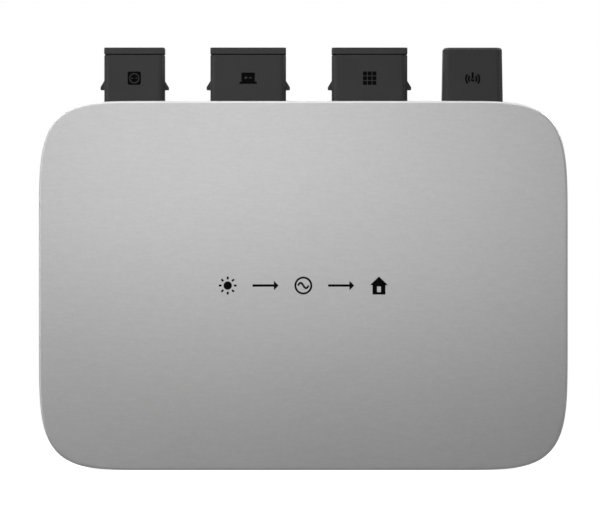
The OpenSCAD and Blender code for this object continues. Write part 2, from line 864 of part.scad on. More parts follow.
front_cover();
rear_heat_sink();
housing_gasket();
housing_screws();
housing_screw_seals();
vent_plug();
vent_seal();
vent_nut();
rating_label();
status_light_pipe();
status_led();
grid_socket_shell();
grid_socket_insert();
grid_socket_pins();
grid_flange_gasket();
grid_dust_cap();
grid_cap_seal();
battery_socket_shell();
battery_socket_insert();
battery_socket_pins();
battery_flange_gasket();
battery_dust_cap();
battery_cap_seal();
solar_socket_shell();
solar_socket_insert();
solar_socket_pins();
solar_flange_gasket();
solar_dust_cap();
solar_cap_seal();
antenna_cover();
antenna_flange_gasket();
antenna_board_plate();  // antenna_board
antenna_shield_can();
antenna_cable();
flange_screws();
main_board();
board_screws();
thermal_pads();
power_transistors();
transformer_cores();
transformer_bobbins();
transformer_windings();
dc_capacitors();
input_capacitors();
film_capacitors();
relays();
fuse();
varistors();
current_sensor();
choke_core();
choke_windings();
inductor_cores();
inductor_coils();
driver_chips();
aux_transformer_core();
aux_transformer_coil();
control_board();
control_chip();
board_headers();
insulating_film();
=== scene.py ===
"""The looks of a wall-mounted solar micro inverter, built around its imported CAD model.

Everything is in metres, in the frame of the CAD model: +Z is up, the front face looks along -Y, and
the back rests on the plane y = 0. Sizes come from the CAD nodes' boxes and from the named values below.
"""

import json
import math

import bmesh
import bpy
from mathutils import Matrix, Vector

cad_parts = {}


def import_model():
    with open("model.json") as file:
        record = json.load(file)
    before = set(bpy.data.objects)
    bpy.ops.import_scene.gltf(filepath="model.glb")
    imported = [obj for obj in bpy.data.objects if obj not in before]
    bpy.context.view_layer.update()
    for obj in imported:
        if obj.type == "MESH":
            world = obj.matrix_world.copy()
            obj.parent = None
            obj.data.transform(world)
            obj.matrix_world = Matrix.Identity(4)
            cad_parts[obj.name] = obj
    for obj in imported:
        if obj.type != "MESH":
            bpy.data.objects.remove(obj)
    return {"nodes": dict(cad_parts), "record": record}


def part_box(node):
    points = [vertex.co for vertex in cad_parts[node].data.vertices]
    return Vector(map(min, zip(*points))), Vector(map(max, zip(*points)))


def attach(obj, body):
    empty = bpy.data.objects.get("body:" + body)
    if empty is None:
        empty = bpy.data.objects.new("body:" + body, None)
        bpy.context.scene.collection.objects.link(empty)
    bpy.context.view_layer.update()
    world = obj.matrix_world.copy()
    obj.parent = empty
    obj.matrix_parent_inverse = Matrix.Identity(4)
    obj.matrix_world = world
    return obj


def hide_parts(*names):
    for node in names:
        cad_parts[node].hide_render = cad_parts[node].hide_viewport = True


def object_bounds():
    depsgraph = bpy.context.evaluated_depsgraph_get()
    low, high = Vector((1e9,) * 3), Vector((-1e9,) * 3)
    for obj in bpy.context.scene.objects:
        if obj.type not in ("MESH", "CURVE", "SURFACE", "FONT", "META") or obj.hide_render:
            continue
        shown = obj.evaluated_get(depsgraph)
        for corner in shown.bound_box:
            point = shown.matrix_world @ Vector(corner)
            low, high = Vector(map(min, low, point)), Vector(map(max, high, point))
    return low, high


MM = 0.001
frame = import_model()
cad_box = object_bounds()

PORTS = ("grid", "battery", "solar")

# Shape of the housing's outline: the reach of its corners, and how square they are
CORNER_REACH_X = 57.4 * MM
CORNER_REACH_Z = 64.6 * MM
CORNER_POWER = 4.8
CORNER_STEPS = 40
WALL = 3.0 * MM
FACE = 2.0 * MM
EDGE_ROUND = 1.0 * MM
INNER_FILLET = 0.4 * MM
SEAM_CHAMFER = 0.25 * MM
LIGHT_HOLE = 3.1 * MM

# Extra rings beside the cover's rounded edges, which keep its flat stretches flat
RING_INSIDE = 1.5 * MM
RING_SEAM = 4 * MM
RING_SIDE = 2 * MM
RINGS_FACE = (0.5 * MM, 4 * MM)

# Screw posts inside the cover, placed inwards from the housing's edges
POST_R = 3.5 * MM
POST_BORE_R = 1.25 * MM
POST_BORE_DEEP = 7.0 * MM
CORNER_POST_IN = 13.5 * MM
SIDE_POST_IN = 6.0 * MM
SIDE_POST_Z = 24.0 * MM
EDGE_POST_IN = 5.9 * MM
EDGE_POSTS_X = (-53.15 * MM, 55.7 * MM)

# Sockets and the wireless block
PORT_CORNER = 3.0 * MM
CAP_CORNER = 1.2 * MM
SHELL_WALL = 1.9 * MM
PORT_THICK = 16.4 * MM
PORT_FIT = 0.15 * MM
FLANGE_OUT = 3.8 * MM
FLANGE_DEEP = 19.6 * MM
FLANGE_THICK = 2.0 * MM
FLANGE_FIT = 0.2 * MM
LUG_HEIGHTS = (5.3 * MM, 6.5 * MM, 9.5 * MM)
LUG_OUT = 1.8 * MM
LUG_DEEP = 8.0 * MM
LUG_ROOT = 1.0 * MM
CAP_GAP = 0.4 * MM
CAP_CLEAR = 0.35 * MM
CAP_GROOVE = 0.9 * MM
SEAL_PLAY = 0.05 * MM

# Printed signs: their height over the housing, and how far they stand off their faces
SIGN_HEIGHT = 10.5 * MM
SIGN_GAP = 0.01 * MM
SIGN_THICK = 0.03 * MM
SIGN_THICK_ON_DRAFT = 0.3 * MM

# How finely a circle and a short arc are drawn
ROUND_STEPS = 40
ARC_STEPS = 14

# Surface textures, in features per metre, and the stretch of a noise's values that is used
SPECKLE = 1300
GRAIN = 800
SPARK_TEXTURE = 2200
MACHINED_TEXTURE = 1500
ORANGE_PEEL = 1400
NOISE_LOW, NOISE_HIGH = 0.3, 0.7

# The floor, and the ring where it fades out
FLOOR_RADIUS = 0.6
FLOOR_FADE = (0.2, 0.55)
FLOOR_STEPS = 96

# Camera: the frame's width at the front face, and the picture's centre in the front view
LENS_MM = 300.0
SENSOR_MM = 36.0
VIEW_WIDTH = 274.5 * MM
VIEW_CENTRE_X = -1.53 * MM
VIEW_CENTRE_Z = 14.2 * MM


# ------------------------------------------------------------------ mesh helpers


def add_object(name, bm):
    """A new object with this mesh, its faces turned outwards."""
    bmesh.ops.recalc_face_normals(bm, faces=bm.faces)
    mesh = bpy.data.meshes.new(name)
    bm.to_mesh(mesh)
    bm.free()
    obj = bpy.data.objects.new(name, mesh)
    bpy.context.scene.collection.objects.link(obj)
    return obj


def loft(bm, rings, closed=False):
    """Joins rings of points into a solid: a closed sleeve, or a solid with a flat face at each end."""
    rows = [[bm.verts.new(point) for point in ring] for ring in rings]
    pairs = list(zip(rows, rows[1:], strict=False))
    if closed:
        pairs.append((rows[-1], rows[0]))
    count = len(rows[0])
    for low, high in pairs:
        for i in range(count):
            j = (i + 1) % count
            bm.faces.new((low[i], low[j], high[j], high[i]))
    if not closed:
        bm.faces.new(rows[0])
        bm.faces.new(rows[-1])


def rounded_ring(centre, width, deep, radius, z, steps=10):
    """A level ring of points around a rectangle with rounded corners."""
    points = []
    for quarter, (sx, sy) in enumerate(((1, 1), (-1, 1), (-1, -1), (1, -1))):
        for i in range(steps + 1):
            a = math.pi / 2 * (quarter + i / steps)
            x = centre[0] + sx * (width / 2 - radius) + radius * math.cos(a)
            y = centre[1] + sy * (deep / 2 - radius) + radius * math.sin(a)
            points.append((x, y, z))
    return points


def outline_ring(half_w, half_h, inset, y):
    """A ring around the housing's outline in the plane y, drawn in by inset."""
    points = []
    for quarter, (sx, sz) in enumerate(((1, 1), (-1, 1), (-1, -1), (1, -1))):
        for i in range(CORNER_STEPS + 1):
            step = i if quarter % 2 == 0 else CORNER_STEPS - i
            a = math.pi / 2 * step / CORNER_STEPS
            c, s = math.cos(a), math.sin(a)
            grow = (c**CORNER_POWER + s**CORNER_POWER) ** (-1 / CORNER_POWER)
            x = half_w - CORNER_REACH_X + (CORNER_REACH_X - inset) * grow * c
            z = half_h - CORNER_REACH_Z + (CORNER_REACH_Z - inset) * grow * s
            points.append((sx * x, y, sz * z))
    return points


def circle(x, z, radius, steps=ROUND_STEPS):
    turn = 2 * math.pi / steps
    return [(x + radius * math.cos(i * turn), z + radius * math.sin(i * turn)) for i in range(steps)]


def arc_steps(count):
    """The angles of a quarter turn in equal steps."""
    return [math.pi / 2 * i / count for i in range(count + 1)]


def apply_modifiers(obj):
    bpy.context.view_layer.update()
    shaped = obj.evaluated_get(bpy.context.evaluated_depsgraph_get())
    mesh = bpy.data.meshes.new_from_object(shaped)
    obj.modifiers.clear()
    obj.data = mesh


def combine(obj, other, operation):
    """Joins another object to this one or cuts it away. The other object is used up."""
    step = obj.modifiers.new("combine", "BOOLEAN")
    step.operation = operation
    step.solver = "EXACT"
    step.object = other
    apply_modifiers(obj)
    bpy.data.objects.remove(other)


def soften(obj, width, segments=3, angle=32):
    """Rounds the sharp edges a little and smooths the shading."""
    mesh = obj.data
    mesh.shade_smooth()
    weld = obj.modifiers.new("weld", "WELD")
    weld.merge_threshold = 0.002 * MM
    bevel = obj.modifiers.new("bevel", "BEVEL")
    bevel.width = width
    bevel.segments = segments
    bevel.limit_method = "ANGLE"
    bevel.angle_limit = math.radians(angle)
    bevel.harden_normals = False
    bevel.use_clamp_overlap = True
    normals = obj.modifiers.new("normals", "WEIGHTED_NORMAL")
    normals.keep_sharp = True


def finish_piece(obj, body, node, material):
    """Paints a piece, hides the CAD node that it takes the place of, and sets what it rides on."""
    obj.data.materials.clear()
    obj.data.materials.append(material)
    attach(obj, body)
    if node:
        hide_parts(node)


# ------------------------------------------------------------------ materials


def new_material(name):
    material = bpy.data.materials.new(name)
    material.use_nodes = True
    nodes = material.node_tree.nodes
    shader = next(n for n in nodes if n.type == "BSDF_PRINCIPLED")
    return material, material.node_tree, shader


def noise(tree, scale, detail, stretch=(1, 1, 1)):
    """A noise texture in the object's own coordinates. Its scale is in features per metre."""
    place = tree.nodes.new("ShaderNodeTexCoord")
    mapping = tree.nodes.new("ShaderNodeMapping")
    mapping.inputs["Scale"].default_value = stretch
    texture = tree.nodes.new("ShaderNodeTexNoise")
    texture.inputs["Scale"].default_value = scale
    texture.inputs["Detail"].default_value = detail
    tree.links.new(place.outputs["Object"], mapping.inputs["Vector"])
    tree.links.new(mapping.outputs["Vector"], texture.inputs["Vector"])
    return texture.outputs["Fac"]


def spread(tree, value, low, high):
    """Maps a noise to a range of numbers."""
    step = tree.nodes.new("ShaderNodeMapRange")
    step.inputs["From Min"].default_value = NOISE_LOW
    step.inputs["From Max"].default_value = NOISE_HIGH
    step.inputs["To Min"].default_value = low
    step.inputs["To Max"].default_value = high
    tree.links.new(value, step.inputs["Value"])
    return step.outputs["Result"]


def shades(tree, value, dark, light):
    """Maps a noise to colours between two shades."""
    ramp = tree.nodes.new("ShaderNodeValToRGB")
    ramp.color_ramp.elements[0].position = NOISE_LOW
    ramp.color_ramp.elements[1].position = NOISE_HIGH
    ramp.color_ramp.elements[0].color = (*dark, 1)
    ramp.color_ramp.elements[1].color = (*light, 1)
    tree.links.new(value, ramp.inputs["Fac"])
    return ramp.outputs["Color"]


def add_bump(tree, shader, value, distance, strength, under=None):
    """Adds a bump to the shader, over another bump where one is given."""
    bump = tree.nodes.new("ShaderNodeBump")
    bump.inputs["Strength"].default_value = strength
    bump.inputs["Distance"].default_value = distance
    tree.links.new(value, bump.inputs["Height"])
    if under is not None:
        tree.links.new(under, bump.inputs["Normal"])
    tree.links.new(bump.outputs["Normal"], shader.inputs["Normal"])
    return bump.outputs["Normal"]


def scaled(color, factor):
    return tuple(min(1.0, c * factor) for c in color)


def multiply_add(tree, value, factor, more=None):
    """A number times a factor, plus another number where one is given."""
    step = tree.nodes.new("ShaderNodeMath")
    step.operation = "MULTIPLY_ADD"
    step.inputs[1].default_value = factor
    step.inputs[2].default_value = 0
    tree.links.new(value, step.inputs[0])
    if more is not None:
        tree.links.new(more, step.inputs[2])
    return step.outputs["Value"]


def blasted_metal(name, color, roughness, metallic):
    """Bead-blasted, anodised metal: a very fine speckle with a faint sideways grain."""
    material, tree, shader = new_material(name)
    speckle = noise(tree, SPECKLE, 3)
    grain = noise(tree, GRAIN, 3, stretch=(0.3, 1, 1.3))
    cloud = noise(tree, 14, 3)
    both = multiply_add(tree, speckle, 0.5, multiply_add(tree, grain, 0.5))
    tree.links.new(shades(tree, both, scaled(color, 0.95), scaled(color, 1.05)), shader.inputs["Base Color"])
    tree.links.new(spread(tree, cloud, roughness - 0.02, roughness + 0.02), shader.inputs["Roughness"])
    shader.inputs["Metallic"].default_value = metallic
    first = add_bump(tree, shader, speckle, 0.012 * MM, 0.5)
    add_bump(tree, shader, grain, 0.01 * MM, 0.35, under=first)
    return material


def plastic(name, color, roughness, relief=0.02, specular=0.4, variation=0.06):
    """Moulded plastic or rubber with a fine spark-eroded texture."""
    material, tree, shader = new_material(name)
    fine = noise(tree, SPARK_TEXTURE, 2)
    cloud = noise(tree, 60, 3)
    tree.links.new(shades(tree, cloud, scaled(color, 1 - variation), scaled(color, 1 + variation)),
                   shader.inputs["Base Color"])
    tree.links.new(spread(tree, fine, roughness - 0.06, roughness + 0.06), shader.inputs["Roughness"])
    shader.inputs["Specular IOR Level"].default_value = specular
    add_bump(tree, shader, fine, relief * MM, 0.6)
    return material


def metal(name, color, roughness):
    """Plain machined or plated metal."""
    material, tree, shader = new_material(name)
    fine = noise(tree, MACHINED_TEXTURE, 3)
    tree.links.new(shades(tree, fine, scaled(color, 0.93), scaled(color, 1.05)), shader.inputs["Base Color"])
    tree.links.new(spread(tree, fine, roughness - 0.05, roughness + 0.07), shader.inputs["Roughness"])
    shader.inputs["Metallic"].default_value = 1.0
    add_bump(tree, shader, fine, 0.006 * MM, 0.5)
    return material


def powder_coat(name, color):
    """Powder-coated casting: low orange-peel bumps."""
    material, tree, shader = new_material(name)
    peel = noise(tree, ORANGE_PEEL, 2)
    cloud = noise(tree, 40, 2)
    tree.links.new(shades(tree, cloud, scaled(color, 0.92), scaled(color, 1.08)), shader.inputs["Base Color"])
    tree.links.new(spread(tree, peel, 0.5, 0.62), shader.inputs["Roughness"])
    shader.inputs["Metallic"].default_value = 0.0
    shader.inputs["Specular IOR Level"].default_value = 0.5
    add_bump(tree, shader, peel, 0.05 * MM, 0.6)
    return material


SILVER = blasted_metal("silver_anodised", (0.56, 0.56, 0.56), 0.5, metallic=0.85)
CHARCOAL = plastic("charcoal_plastic", (0.0215, 0.0215, 0.0215), 0.55, specular=0.3)
CAP_RUBBER = plastic("cap_elastomer", (0.026, 0.026, 0.026), 0.6, specular=0.3)
PRINT = plastic("printed_black", (0.002, 0.002, 0.002), 0.9, relief=0.004, specular=0.05)
MATERIALS = {
    "silver_anodised": SILVER,
    "heat_sink_grey": powder_coat("heat_sink_grey", (0.090, 0.093, 0.098)),
    "charcoal_plastic": CHARCOAL,
    "cap_elastomer": CAP_RUBBER,
    "socket_black": plastic("socket_black", (0.012, 0.012, 0.012), 0.5),
    "contact_brass": metal("contact_brass", (0.80, 0.64, 0.36), 0.25),
    "black_rubber": plastic("black_rubber", (0.014, 0.014, 0.014), 0.7),
    "zinc_steel": metal("zinc_steel", (0.58, 0.58, 0.58), 0.32),
    "label_film": plastic("label_film", (0.50, 0.51, 0.52), 0.4, relief=0.005, variation=0.02),
    "light_pipe": plastic("light_pipe", (0.72, 0.75, 0.77), 0.3, relief=0.01),
    "circuit_board": plastic("circuit_board", (0.010, 0.085, 0.040), 0.3, relief=0.01, specular=0.5),
    "tin_plate": metal("tin_plate", (0.70, 0.70, 0.68), 0.28),
    "thermal_pad": plastic("thermal_pad", (0.22, 0.28, 0.36), 0.8),
    "chip_black": plastic("chip_black", (0.015, 0.015, 0.016), 0.5),
    "ferrite": plastic("ferrite", (0.045, 0.045, 0.048), 0.65, relief=0.03),
    "bobbin_plastic": plastic("bobbin_plastic", (0.66, 0.62, 0.48), 0.45),
    "copper_wire": metal("copper_wire", (0.62, 0.24, 0.09), 0.3),
    "capacitor_sleeve": plastic("capacitor_sleeve", (0.012, 0.014, 0.035), 0.3, relief=0.006),
    "film_capacitor_case": plastic("film_capacitor_case", (0.50, 0.41, 0.10), 0.35),
    "ceramic": plastic("ceramic", (0.70, 0.66, 0.58), 0.35, relief=0.008),
    "varistor_coat": plastic("varistor_coat", (0.03, 0.09, 0.24), 0.35, relief=0.03),
    "tape_yellow": plastic("tape_yellow", (0.70, 0.47, 0.05), 0.3, relief=0.01),
    "film_amber": plastic("film_amber", (0.52, 0.36, 0.12), 0.25, relief=0.005),
}


# ------------------------------------------------------------------ housing


def port_centre(name):
    low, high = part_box(name + "_flange_gasket")
    return (low.x + high.x) / 2, (low.y + high.y) / 2


def upright_block(name, centre, width, deep, low, high, corner=PORT_CORNER):
    """An upright block with rounded corners, from one height to another."""
    bm = bmesh.new()
    loft(bm, [rounded_ring(centre, width, deep, corner, z) for z in (low, high)])
    return add_object(name, bm)


def screw_posts(half_w, half_h, seam, face):
    """The posts inside the cover that take the housing screws, each with its bore, as one mesh."""
    corner_x, corner_z = half_w - CORNER_POST_IN, half_h - CORNER_POST_IN
    side_x, edge_z = half_w - SIDE_POST_IN, half_h - EDGE_POST_IN
    signs_xz = [(sx, sz) for sx in (-1, 1) for sz in (-1, 1)]
    places = [(sx * corner_x, sz * corner_z) for sx, sz in signs_xz]
    places += [(sx * side_x, sz * SIDE_POST_Z) for sx, sz in signs_xz]
    places += [(x, sz * edge_z) for x in EDGE_POSTS_X for sz in (-1, 1)]
    places.append((0, -edge_z))
    bm = bmesh.new()
    for x, z in places:
        steps = [(POST_R, face), (POST_R, seam), (POST_BORE_R, seam), (POST_BORE_R, seam - POST_BORE_DEEP)]
        loft(bm, [[(px, y, pz) for px, pz in circle(x, z, r)] for r, y in steps])
    return add_object("screw_posts", bm)


def front_shell():
    """The silver cover: a thin tray with a rounded front edge, its screw posts and the sockets' openings."""
    low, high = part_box("front_cover")
    half_w, half_h = high.x, high.z
    front, seam = low.y, high.y
    inner = front + FACE
    profile = [(WALL + RING_INSIDE, inner), (WALL + INNER_FILLET, inner), (WALL, inner + INNER_FILLET),
               (WALL, seam), (SEAM_CHAMFER, seam), (0, seam - SEAM_CHAMFER), (0, seam - RING_SEAM),
               (0, front + EDGE_ROUND + RING_SIDE)]
    for a in arc_steps(8):
        profile.append((EDGE_ROUND * (1 - math.cos(a)), front + EDGE_ROUND * (1 - math.sin(a))))
    profile += [(EDGE_ROUND + ring, front) for ring in RINGS_FACE]
    bm = bmesh.new()
    loft(bm, [outline_ring(half_w, half_h, inset, y) for inset, y in profile])
    shell = add_object("front_shell", bm)
    combine(shell, screw_posts(half_w, half_h, seam, front + FACE / 2), "UNION")
    under, over = half_h - 8 * MM, half_h + 4 * MM
    for name in (*PORTS, "antenna"):
        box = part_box(name + "_flange_gasket")
        width = box[1].x - box[0].x
        hole = width - 2 * FLANGE_OUT + 2 * PORT_FIT
        seat = width + 2 * FLANGE_FIT
        centre = port_centre(name)
        opening = upright_block("opening", centre, hole, PORT_THICK + 2 * PORT_FIT, under, over)
        combine(shell, opening, "DIFFERENCE")
        room = upright_block("seat", centre, seat, FLANGE_DEEP + 2 * FLANGE_FIT, under, half_h - WALL)
        combine(shell, room, "DIFFERENCE")
    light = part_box("status_light_pipe")
    centre = ((light[0].x + light[1].x) / 2, (light[0].y + light[1].y) / 2)
    nearly_half = 0.499 * LIGHT_HOLE
    hole = upright_block("light_hole", centre, LIGHT_HOLE, LIGHT_HOLE, under, over, nearly_half)
    combine(shell, hole, "DIFFERENCE")
    shell.data.shade_smooth()
    shell.data.set_sharp_from_angle(angle=math.radians(30))
    normals = shell.modifiers.new("normals", "WEIGHTED_NORMAL")
    normals.keep_sharp = True
    finish_piece(shell, "housing", "front_cover", SILVER)


# ------------------------------------------------------------------ sockets


def lug(side_x, side, y, foot):
    """One wedge-shaped latch lug on the side of a shroud."""
    bm = bmesh.new()
    low, edge, top = (foot + h for h in LUG_HEIGHTS)
    inner = side_x - side * LUG_ROOT
    outer = side_x + side * LUG_OUT
    outline = [(inner, low), (outer, low), (outer, edge), (side_x, top), (inner, top)]
    loft(bm, [[(x, y + s * LUG_DEEP / 2, z) for x, z in outline] for s in (-1, 1)])
    return add_object("lug", bm)


def socket_shell(name):
    """A shroud: an open sleeve on a flange, with a latch lug on both sides."""
    node = name + "_socket_shell"
    low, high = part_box(node)
    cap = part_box(name + "_dust_cap")
    centre = ((cap[0].x + cap[1].x) / 2, (cap[0].y + cap[1].y) / 2)
    width, deep = cap[1].x - cap[0].x, cap[1].y - cap[0].y
    under, rim = low.z, high.z
    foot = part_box("front_cover")[1].z

    def ring(w, d, z):
        return rounded_ring(centre, w, d, PORT_CORNER, z)

    hole_w, hole_d = width - 2 * SHELL_WALL, deep - 2 * SHELL_WALL
    bm = bmesh.new()
    loft(bm, [ring(width + 2 * FLANGE_OUT, FLANGE_DEEP, under),
              ring(width + 2 * FLANGE_OUT, FLANGE_DEEP, under + FLANGE_THICK),
              ring(width, deep, under + FLANGE_THICK), ring(width, deep, rim),
              ring(hole_w, hole_d, rim), ring(hole_w, hole_d, under)], closed=True)
    shell = add_object(name + "_shroud", bm)
    for side in (-1, 1):
        combine(shell, lug(centre[0] + side * width / 2, side, centre[1], foot), "UNION")
    soften(shell, 0.28 * MM)
    finish_piece(shell, "housing", node, CHARCOAL)


def dust_cap(name):
    """A cap: a band over the socket's rim, and a plug with a groove for its seal."""
    node = name + "_dust_cap"
    low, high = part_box(node)
    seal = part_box(name + "_cap_seal")
    centre = ((low.x + high.x) / 2, (low.y + high.y) / 2)
    width, deep = high.x - low.x, high.y - low.y
    inward = 2 * (SHELL_WALL + CAP_CLEAR)
    groove = inward + 2 * CAP_GROOVE
    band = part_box(name + "_socket_shell")[1].z + CAP_GAP

    def ring(less, z, corner=PORT_CORNER):
        return rounded_ring(centre, width - less, deep - less, corner, z)

    under, over = seal[0].z - SEAL_PLAY, seal[1].z + SEAL_PLAY
    bm = bmesh.new()
    loft(bm, [ring(inward, low.z), ring(inward, under), ring(groove, under), ring(groove, over),
              ring(inward, over), ring(inward, band), ring(0, band, CAP_CORNER), ring(0, high.z, CAP_CORNER)])
    cap = add_object(name + "_cap_body", bm)
    soften(cap, 0.3 * MM)
    finish_piece(cap, name + "_cap", node, CAP_RUBBER)


def antenna_block():
    """The wireless block: a hollow block with a little draft and rounded top edges."""
    node = "antenna_cover"
    low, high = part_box(node)
    centre = port_centre("antenna")
    width = high.x - low.x - 2 * FLANGE_OUT
    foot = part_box("front_cover")[1].z + 0.5 * MM
    corner = 1.3 * MM
    draft = 0.4 * MM
    wall = 2 * MM
    shelf = low.z + FLANGE_THICK

    def ring(w, d, z):
        return rounded_ring(centre, w, d, PORT_CORNER, z)

    top_w, top_d = width - 2 * draft, PORT_THICK - draft
    flange_w = width + 2 * FLANGE_OUT
    rings = [ring(flange_w, FLANGE_DEEP, low.z), ring(flange_w, FLANGE_DEEP, shelf),
             ring(width, PORT_THICK, shelf), ring(width, PORT_THICK, foot)]
    for a in arc_steps(6):
        inset = corner * (1 - math.cos(a))
        rings.append(ring(top_w - 2 * inset, top_d - 2 * inset, high.z - corner * (1 - math.sin(a))))
    bm = bmesh.new()
    loft(bm, rings)
    block = add_object("wireless_block", bm)
    inner_w, inner_d = width - 2 * wall, PORT_THICK - 2 * wall
    hollow = upright_block("hollow", centre, inner_w, inner_d, low.z - MM, high.z - wall)
    combine(block, hollow, "DIFFERENCE")
    soften(block, 0.2 * MM, angle=40)
    finish_piece(block, "housing", node, CHARCOAL)


# ------------------------------------------------------------------ printed signs


def rounded_square(x, z, w, h, r, steps=5):
    return [(px, pz) for px, pz, _ in rounded_ring((x, z), w, h, r, 0, steps)]


def stroke(points, width):
    """The outline of a line of even width drawn through the points."""
    left, right = [], []
    for i, (x, z) in enumerate(points):
        before, after = points[max(i - 1, 0)], points[min(i + 1, len(points) - 1)]
        dx, dz = after[0] - before[0], after[1] - before[1]
        size = math.hypot(dx, dz)
        nx, nz = -dz / size * width / 2, dx / size * width / 2
        left.append((x + nx, z + nz))
        right.append((x - nx, z - nz))
    return left + right[::-1]


def arc(x, z, r, start, end, width):
    """A stroke along part of a circle, from one angle to another in degrees."""
    angles = [math.radians(start + (end - start) * i / ARC_STEPS) for i in range(ARC_STEPS + 1)]
    return stroke([(x + r * math.cos(a), z + r * math.sin(a)) for a in angles], width)


def sign(name, at, outlines, thick=SIGN_THICK):
    """A printed sign made of outlines in millimetres; an outline inside another is a hole in it."""
    curve = bpy.data.curves.new(name, "CURVE")
    curve.dimensions = "2D"
    curve.fill_mode = "BOTH"
    curve.extrude = thick / 2
    for outline in outlines:
        spline = curve.splines.new("POLY")
        spline.points.add(len(outline) - 1)
        for point, (x, z) in zip(spline.points, outline, strict=True):
            point.co = (x * MM, z * MM, 0, 1)
        spline.use_cyclic_u = True
    drawn = bpy.data.objects.new(name, curve)
    bpy.context.scene.collection.objects.link(drawn)
    bpy.context.view_layer.update()
    mesh = bpy.data.meshes.new_from_object(drawn.evaluated_get(bpy.context.evaluated_depsgraph_get()))
    bpy.data.objects.remove(drawn)
    bm = bmesh.new()
    bm.from_mesh(mesh)
    bmesh.ops.remove_doubles(bm, verts=bm.verts, dist=0.0005 * MM)
    for vert in bm.verts:
        x, z, out = vert.co
        vert.co = (at[0] + x, at[1] - out, at[2] + z)
    piece = add_object(name, bm)
    finish_piece(piece, "housing", None, PRINT)


def mains_sign():
    return [rounded_square(0, 0, 6.1, 6.1, 0.8), circle(0, 0, 2.3), circle(0, 0, 1.9),
            circle(-0.95, 0, 0.32, 16), circle(0.95, 0, 0.32, 16)]


def battery_sign():
    body = rounded_square(0, 0.55, 6.2, 4.1, 0.45)
    foot = [(-4.1, -2.6), (4.1, -2.6), (3.8, -1.5), (-3.8, -1.5)]
    plus = [(-1.75, 0), (-1.25, 0), (-1.25, -0.45), (-0.8, -0.45), (-0.8, 0), (-0.3, 0),
            (-0.3, 0.45), (-0.8, 0.45), (-0.8, 0.9), (-1.25, 0.9), (-1.25, 0.45), (-1.75, 0.45)]
    minus = [(0.35, 0), (1.6, 0), (1.6, 0.45), (0.35, 0.45)]
    return [body, plus, minus, foot]


def solar_sign():
    step, cell = 2.15, 1.85
    return [rounded_square(i * step, j * step, cell, cell, 0.2, 3) for i in (-1, 0, 1) for j in (-1, 0, 1)]


def wireless_sign():
    rod = stroke([(0, -0.6), (0, 2.7)], 0.9)
    foot = circle(0, -0.8, 0.7, 24)
    waves = [(r, side) for r in (1.8, 3.1) for side in (0, 180)]
    return [rod, foot, *(arc(0, -0.3, r, side + 42, side - 42, 0.75) for r, side in waves)]


def moved(outline, x):
    return [(x + point[0], point[1]) for point in outline]


def sun(size):
    """A disc with eight rays."""
    rays = []
    for i in range(8):
        a = math.pi / 4 * i
        ends = [(r * size * math.cos(a), r * size * math.sin(a)) for r in (0.68, 1.0)]
        rays.append(stroke(ends, 0.9))
    return [circle(0, 0, 0.47 * size), *rays]


def arrow(length):
    """An arrow to the right, centred on its own middle."""
    half, head = length / 2, 2.2
    return [(-half, -0.55), (half - head, -0.55), (half - head, -head), (half, 0), (half - head, head),
            (half - head, 0.55), (-half, 0.55)]


def wave_in_ring(size):
    """The sign for alternating current: one wave in a ring."""
    reach = 0.6 * size
    wave = [(reach * (i / 12 - 1), 0.3 * size * math.sin(math.pi * i / 12)) for i in range(25)]
    return [circle(0, 0, size), circle(0, 0, size - 0.9), stroke(wave, 0.9)]


def house(size):
    """A plain house with a door."""
    wall, eaves = 0.72 * size, 0.05 * size
    outline = [(-wall, -size), (-wall, eaves), (-size, eaves), (0, size), (size, eaves), (wall, eaves),
               (wall, -size)]
    return [outline, rounded_square(0, -0.42 * size, 1.8, 2.6, 0.1, 2)]


def front_sign():
    """Sunlight turned into mains power for a house."""
    size, far = 4.1, 34.6
    way = [arrow(12)]
    parts = [(sun(size), -far), (way, -far / 2), (wave_in_ring(size), 0), (way, far / 2), (house(size), far)]
    return [moved(outline, x) for outlines, x in parts for outline in outlines]


def signs():
    """The row of signs on the front, and one sign on each block."""
    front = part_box("front_cover")[0].y
    sign("front_sign", (0, front - SIGN_GAP, 0), front_sign())
    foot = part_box("front_cover")[1].z
    drawings = {"grid": mains_sign(), "battery": battery_sign(), "solar": solar_sign()}
    for name, outlines in drawings.items():
        low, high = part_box(name + "_dust_cap")
        sign(name + "_sign", ((low.x + high.x) / 2, low.y - SIGN_GAP, foot + SIGN_HEIGHT), outlines)
    low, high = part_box("antenna_cover")
    face = (low.y + high.y) / 2 - PORT_THICK / 2
    at = ((low.x + high.x) / 2, face, foot + SIGN_HEIGHT)
    sign("wireless_sign", at, wireless_sign(), SIGN_THICK_ON_DRAFT)


# ------------------------------------------------------------------ the CAD nodes that stay as they are


def paint_cad_nodes():
    """Gives each CAD node its slot's material, and rounds the edges of those that show."""
    slots = {row["node"]: row["material_slot"] for row in frame["record"]["subparts"]}
    bevels_mm = {"rear_heat_sink": 0.25, "housing_screws": 0.2, "vent_plug": 0.25, "vent_nut": 0.2,
                 "grid_socket_insert": 0.2, "battery_socket_insert": 0.2, "solar_socket_insert": 0.2}
    for name, obj in frame["nodes"].items():
        obj.data.materials.clear()
        obj.data.materials.append(MATERIALS[slots[name]])
        if name in bevels_mm:
            soften(obj, bevels_mm[name] * MM, 2)


# ------------------------------------------------------------------ stage


